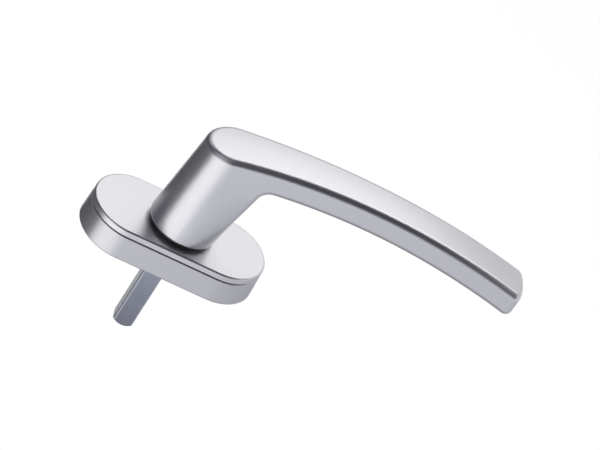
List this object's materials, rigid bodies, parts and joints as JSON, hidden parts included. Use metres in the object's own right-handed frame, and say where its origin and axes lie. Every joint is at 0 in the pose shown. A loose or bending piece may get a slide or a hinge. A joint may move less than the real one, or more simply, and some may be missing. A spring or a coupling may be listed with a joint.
{
  "type": "window handle",
  "caption": "Tilt-and-turn window handle: a bowed satin aluminium lever on a round neck, a stadium rosette with a turning cover plate, and a square spindle.",
  "frame": {"origin": "middle of the rosette's back face, on the spindle's axis", "axes": "+Z along the spindle into the room, +X along the closed lever, +Y across the rosette"},
  "size_m": [0.1439, 0.0314, 0.0923],
  "materials": {
    "satin_aluminium": "satin anodised, fine blasted grain",
    "base_aluminium": "satin anodised casting",
    "plated_steel": "blue zinc plated",
    "sintered_steel": "sintered, dull",
    "spring_steel": "tempered, oiled",
    "black_plastic": "moulded, dull",
    "pale_plastic": "natural white, smooth"
  },
  "bodies": {
    "rosette": {"rosette_base": "base_aluminium", "guide_bush": "black_plastic", "detent_spring_front": "spring_steel", "detent_spring_rear": "spring_steel"},
    "lever": {"lever": "satin_aluminium", "drive_sleeve": "sintered_steel", "spindle": "plated_steel", "spindle_pin": "plated_steel", "thrust_washer": "pale_plastic", "detent_cam": "sintered_steel", "disc_spring": "spring_steel", "retaining_ring": "spring_steel"},
    "cover": {"cover_plate": "satin_aluminium", "cover_glide_ring": "black_plastic"}
  },
  "joints": [
    {"name": "lever_turn", "type": "hinge", "parent": "rosette", "child": "lever", "pos_m": [0, 0, 0], "axis": [0, 0, 1], "continuous": true, "deforming": ["detent_spring_front", "detent_spring_rear"]},
    {"name": "cover_turn", "type": "hinge", "parent": "rosette", "child": "cover", "pos_m": [0, 0, 0.0096], "axis": [0, 0, 1], "range_deg": [-90, 90]}
  ]
}
